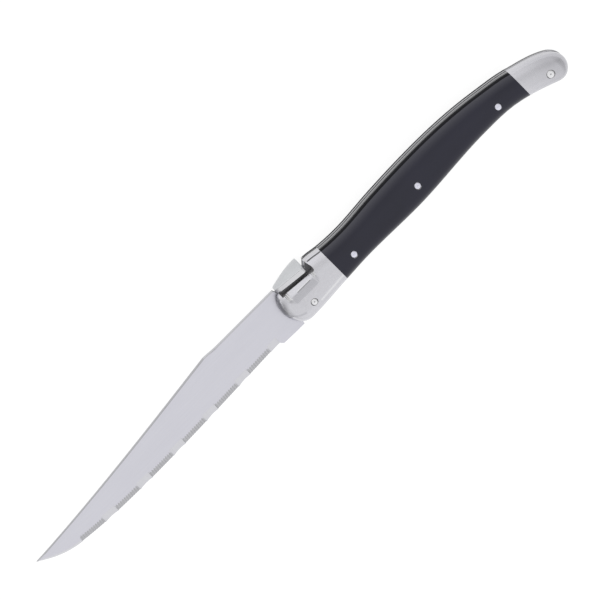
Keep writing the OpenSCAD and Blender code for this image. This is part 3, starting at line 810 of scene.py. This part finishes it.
def finish_scoop(bolster, steel):
    """Satin with painted shade on the scoop, painted shade and highlight on the two sides of its ridge,
    painted shade on the nose's rim and painted highlight on its run-outs.
    """

    def on_ridge_line(face):
        return line_start < face.center.x < line_end and abs(face.normal.x) < STRAIGHT

    # Painted shade on the scoop's satin facets
    finish_faces(bolster, steel["scoop_satin_painted_shade"], lambda face: SCOOP_TILT[0] < face.normal.y < SCOOP_TILT[1]
                 and abs(face.normal.x) < STRAIGHT
                 and plate_low.x + SCOOP_FRONT < face.center.x < pocket_end
                 and 0 < ridge_level - face.center.y < SCOOP_DEPTH)
    # Painted shade line under the ridge
    finish_faces(bolster, steel["painted_mid_shade"], lambda face: on_ridge_line(face)
                 and 0 < ridge_level - face.center.y < RIDGE_ROOM)
    # Painted highlight above the ridge
    finish_faces(bolster, steel["rivet_polish_and_painted_highlight"], lambda face: on_ridge_line(face)
                 and 0 <= face.center.y - ridge_level < RIDGE_ROOM)
    # Painted shade on the upper part of the nose's rim
    finish_faces(bolster, steel["painted_mid_shade"], lambda face: face.normal.x < -NOSE_TURN
                 and face.center.y > NOSE_SHADE and face.center.x < plate_low.x)
    # Painted highlight on the scoop's run-outs
    finish_faces(bolster, steel["rivet_polish_and_painted_highlight"], lambda face: abs(face.normal.x) > TURNED
                 and abs(face.normal.z) > LEANING and slot_dark < face.center.x < pocket_end
                 and ridge_level - RIDGE_ROOM < face.center.y < plate_low.y)


def finish_shoulder(bolster, steel):
    """Painted shade and painted highlight on the facets below the flat of a front bolster."""
    # Painted shade on the dull shoulder facets near the nose
    finish_faces(bolster, steel["scoop_satin_painted_shade"], lambda face: DULL_TILT[0] < face.normal.y < DULL_TILT[1]
                 and face.center.x < plate_low.x + DULL_END)
    # Painted highlight on the bright shoulder facets
    finish_faces(bolster, steel["plate_rim_and_painted_highlight"], lambda face: BRIGHT_TILT[0] < face.normal.y < BRIGHT_TILT[1]
                 and abs(face.normal.z) > SQUARE and face.center.x > plate_low.x + BRIGHT_START)


def finish_countersinks(piece, steel):
    # Painted shade in the countersinks round the rivets and pins
    finish_faces(piece, steel["recess_painted_shade"], lambda face: abs(face.normal.z) < SQUARE
                 and by_a_pin(face.center))
    # Painted deeper shade on the countersinks' left and right arcs
    finish_faces(piece, steel["painted_dark_shade"], lambda face: abs(face.normal.z) < SQUARE
                 and by_a_pin(face.center) and abs(face.normal.x) > SIDE_ARC)


def finish_front_bolster(bolster, side, steel):
    finish_scoop(bolster, steel)
    if side == "left":
        # Painted shade line of the crease on the left hump's shoulder
        finish_faces(bolster, steel["liner_dull_painted_shade"], lambda face: face.center.x > plate_high.x + CREASE_START
                     and CREASE_TILT[0] < face.normal.y < CREASE_TILT[1])
    finish_shoulder(bolster, steel)
    if side == "right":
        # Painted shade on the tops of the right bolster's hump
        finish_faces(bolster, steel["painted_deep_shade"], lambda face: face.normal.y > UPRIGHT
                     and face.center.x > plate_high.x)
    finish_countersinks(bolster, steel)
    # Painted shade in the slot and pocket by the plate
    finish_faces(bolster, steel["pocket_painted_shade"], lambda face: abs(face.normal.z) < LEANING
                 and face.center.y > ridge_level and slot_dark < face.center.x < pocket_end)


def finish_rear_bolster(bolster, side, steel):
    if side == "right":
        # Painted shade on the tops of the right rear bolster
        finish_faces(bolster, steel["painted_dark_shade"], lambda face: face.normal.y > UPRIGHT)
    finish_countersinks(bolster, steel)


def finish_liner(liner, side, steel):
    """Finishes of a liner's rim at the butt, on the hump, in the pocket and on the ramp, with painted shade
    in the pocket and along the right liner's rim.
    """
    is_far = side == "right"
    # Painted shade on the liners' rims at the butt, deeper on the right liner
    finish_faces(liner, steel["painted_mid_shade" if is_far else "butt_polish_painted_shade"],
                 lambda face: face.center.x > scale_high.x)
    # Painted shade on the right liner's rim over the hump
    finish_faces(liner, steel["painted_dark_shade" if is_far else "back_polish"], on_hump)
    # Painted shade on the liner in the slot and pocket
    finish_faces(liner, steel["pocket_painted_shade"], lambda face: slot_dark < face.center.x < pocket_end
                 and 0 < face.center.y < plate_low.y + POCKET_HEIGHT)
    # Painted shade on the right liner's ramp
    finish_faces(liner, steel["painted_deep_shade" if is_far else "back_polish"], on_ramp)


def finish_scale(scale, steel, sawn):
    finish_faces(scale, sawn, lambda face: face.normal.y > SAWN_SPINE)
    finish_countersinks(scale, steel)


def shaped_piece(node, part):
    """A piece of the handle with its small forms, softened seams and smooth shading."""
    piece = merged_copy(node, f"{node}_finished")
    if part == "liner":
        raise_ramp(piece)
    if part == "front_bolster":
        shape_front_bolster(piece)
    soften_seams(piece, part)
    keep_inside(piece, node)
    if part in ("front_bolster", "liner"):
        part_finishes(piece, part)
    smooth_shading(piece)
    return piece


def dress_side(side, steel, resin, sawn):
    """One side of the handle: liner, front bolster, scale and rear bolster."""
    # Both liners' tints carry painted shade, the left one darker
    liner_steel = steel["liner_dull_painted_shade" if side == "left" else "liner_filed_painted_shade"]
    liner = shaped_piece(f"{side}_liner", "liner")
    settle(liner, f"{side}_liner", liner_steel)
    finish_liner(liner, side, steel)
    front = shaped_piece(f"{side}_front_bolster", "front_bolster")
    settle(front, f"{side}_front_bolster", steel["bolster_polish"])
    finish_front_bolster(front, side, steel)
    scale = shaped_piece(f"{side}_scale", "scale")
    settle(scale, f"{side}_scale", resin)
    finish_scale(scale, steel, sawn)
    rear = shaped_piece(f"{side}_rear_bolster", "rear_bolster")
    # Rear bolster's polish with painted shade towards the butt
    settle(rear, f"{side}_rear_bolster", steel["butt_polish_painted_shade"])
    finish_rear_bolster(rear, side, steel)


def dress_fly_plate(steel):
    """The flared plate, with a bright rim and a fine painted shade line where its crown meets the rim."""
    plate = merged_copy("fly_plate", "fly_plate_finished")
    front, rear = plate_low.x + PLATE_FRONT, plate_high.x - PLATE_REAR
    soften_edges(plate, PLATE_EDGE, FINE_STEPS,
                 chosen=lambda edge: front < edge_middle(plate, edge).x < rear)
    keep_inside(plate, "fly_plate")
    smooth_shading(plate)
    settle(plate, "fly_plate", steel["plate_satin"])
    finish_faces(plate, steel["plate_rim_and_painted_highlight"], lambda face: abs(face.normal.z) > PLATE_SIDE)
    # Painted shade line where the plate's crown meets its rim
    finish_faces(plate, steel["painted_mid_shade"], lambda face: face.normal.z > RIM_SIDE
                 and RIM_TILT[0] < face.normal.y < RIM_TILT[1])


def turned_pin(name, low, high):
    """A rivet or pin: a turned shank with a low dome, a fine rim and a small centre mark on each end."""
    radius = (high.x - low.x) / 2
    bpy.ops.object.select_all(action="DESELECT")
    bpy.ops.mesh.primitive_cylinder_add(vertices=PIN_FACETS, radius=radius, location=(low + high) / 2,
                                        depth=high.z - low.z - 2 * PIN_DOME)
    pin = bpy.context.active_object
    pin.name = name
    bpy.ops.object.transform_apply(location=True, rotation=True, scale=True)
    for side in (-1, 1):
        select_faces(pin, lambda face: face.normal.z * side > SQUARE)
        for inset, rise in DOME_RINGS:
            bpy.ops.mesh.inset(thickness=inset * radius, use_boundary=True)
            bpy.ops.transform.translate(value=(0, 0, side * rise * PIN_DOME))
        bpy.ops.mesh.inset(thickness=MARK_INSET * radius, use_boundary=True)
        bpy.ops.transform.translate(value=(0, 0, -side * MARK_DEPTH))
        bpy.ops.object.mode_set(mode="OBJECT")
    return pin


def dress_pins(steel):
    """The two rivets, with painted shade in their centre mark, and the three plain scale pins."""
    for node, (low, high), (centre, radius) in zip(PINS, pin_boxes, pin_places):
        is_rivet = node.endswith("rivet")
        pin = turned_pin(f"{node}_turned", low, high)
        smooth_shading(pin)
        settle(pin, node, steel["rivet_polish_and_painted_highlight" if is_rivet else "pin_polish"])
        if is_rivet:
            # Painted shade in the rivet's centre mark
            finish_faces(pin, steel["painted_mid_shade"], lambda face: math.hypot(
                face.center.x - centre.x, face.center.y - centre.y) < MARK_SHARE * radius)


def steel_finishes():
    """Every finish of the steel, painted shades and highlights among them, by its name."""
    makers = (blade_satin, tooth_ground_painted_shade, scallop_bright, spine_satin_painted_shade, clip_spine_painted_shade, tang_filed_painted_shade, liner_filed_painted_shade,
              liner_dull_painted_shade, back_polish, bolster_polish, butt_polish_painted_shade, scoop_satin_painted_shade, painted_mid_shade, painted_dark_shade,
              painted_deep_shade, recess_painted_shade, pocket_painted_shade, plate_satin, plate_rim_and_painted_highlight, rivet_polish_and_painted_highlight, pin_polish)
    return {maker.__name__: maker() for maker in makers}


def dress_knife():
    steel = steel_finishes()
    resin = satin_resin()
    sawn = sawn_resin()
    dress_blade(steel)
    for side in ("left", "right"):
        dress_side(side, steel, resin, sawn)
    dress_fly_plate(steel)
    dress_pins(steel)


def add_camera():
    """Camera at the photograph's angle, aimed a little off the front rivet."""
    toward = Vector((0, math.sin(SPINE_TILT), math.cos(SPINE_TILT)))
    across = Vector((0, math.cos(SPINE_TILT), -math.sin(SPINE_TILT)))
    right = LENGTHWISE * math.cos(KNIFE_TURN) - across * math.sin(KNIFE_TURN)
    up = LENGTHWISE * math.sin(KNIFE_TURN) + across * math.cos(KNIFE_TURN)
    camera = bpy.data.objects.new("camera", bpy.data.cameras.new("camera"))
    bpy.context.scene.collection.objects.link(camera)
    camera.data.sensor_width = SENSOR_WIDTH
    camera.data.lens = SENSOR_WIDTH * CAMERA_DISTANCE / (FRAME_PIXELS * PIXEL_SIZE)
    turn = Matrix((right, up, toward)).transposed().to_4x4()
    rivet_centre = pin_places[PINS.index("front_rivet")][0]
    aim = rivet_centre + VIEW_FROM_RIVET
    camera.matrix_world = Matrix.Translation(aim + CAMERA_DISTANCE * toward) @ turn
    bpy.context.scene.camera = camera


def add_floor():
    bpy.ops.object.select_all(action="DESELECT")
    bpy.ops.mesh.primitive_plane_add(size=2 * FLOOR_HALF)
    floor = bpy.context.active_object
    floor.name = "floor"
    material, _, _, shader = new_material("floor_white")
    shader.inputs["Base Color"].default_value = FLOOR_TINT
    shader.inputs["Roughness"].default_value = FLOOR_ROUGH
    shader.inputs["Emission Color"].default_value = WHITE
    shader.inputs["Emission Strength"].default_value = FLOOR_GLOW
    floor.data.materials.append(material)


def sky_curve(nodes, links, value, points):
    """A smooth curve of brightness through points whose first values run from low to high."""
    first, last = points[0][0], points[-1][0]
    share = map_range(nodes, links, value, (first, last))
    node = nodes.new("ShaderNodeFloatCurve")
    node.mapping.use_clip = False
    curve = node.mapping.curves[0]
    for place, brightness in points[1:-1]:
        curve.points.new((place - first) / (last - first), brightness)
    curve.points[0].location = (0.0, points[0][1])
    curve.points[-1].location = (1.0, points[-1][1])
    node.mapping.update()
    links.new(share, node.inputs["Value"])
    return node.outputs["Value"]


def add_light():
    """A pale studio sky: brightest low behind the spine, dimmer overhead and past both ends."""
    world = bpy.data.worlds.new("studio")
    bpy.context.scene.world = world
    world.use_nodes = True
    nodes = world.node_tree.nodes
    links = world.node_tree.links
    place = nodes.new("ShaderNodeTexCoord")
    split = nodes.new("ShaderNodeSeparateXYZ")
    links.new(place.outputs["Generated"], split.inputs["Vector"])
    angle = nodes.new("ShaderNodeMath")
    angle.operation = "ARCTAN2"
    links.new(split.outputs["Y"], angle.inputs[0])
    links.new(split.outputs["Z"], angle.inputs[1])
    points_across = [(math.radians(degrees), brightness) for degrees, brightness in SKY_ACROSS]
    across = sky_curve(nodes, links, angle.outputs["Value"], points_across)
    along = sky_curve(nodes, links, split.outputs["X"], SKY_ALONG)
    strength = nodes.new("ShaderNodeMath")
    strength.operation = "MULTIPLY"
    links.new(across, strength.inputs[0])
    links.new(along, strength.inputs[1])
    nodes["Background"].inputs["Color"].default_value = WHITE
    links.new(strength.outputs["Value"], nodes["Background"].inputs["Strength"])


add_camera()
add_floor()
add_light()
dress_knife()

bpy.context.scene.view_settings.view_transform = "Standard"
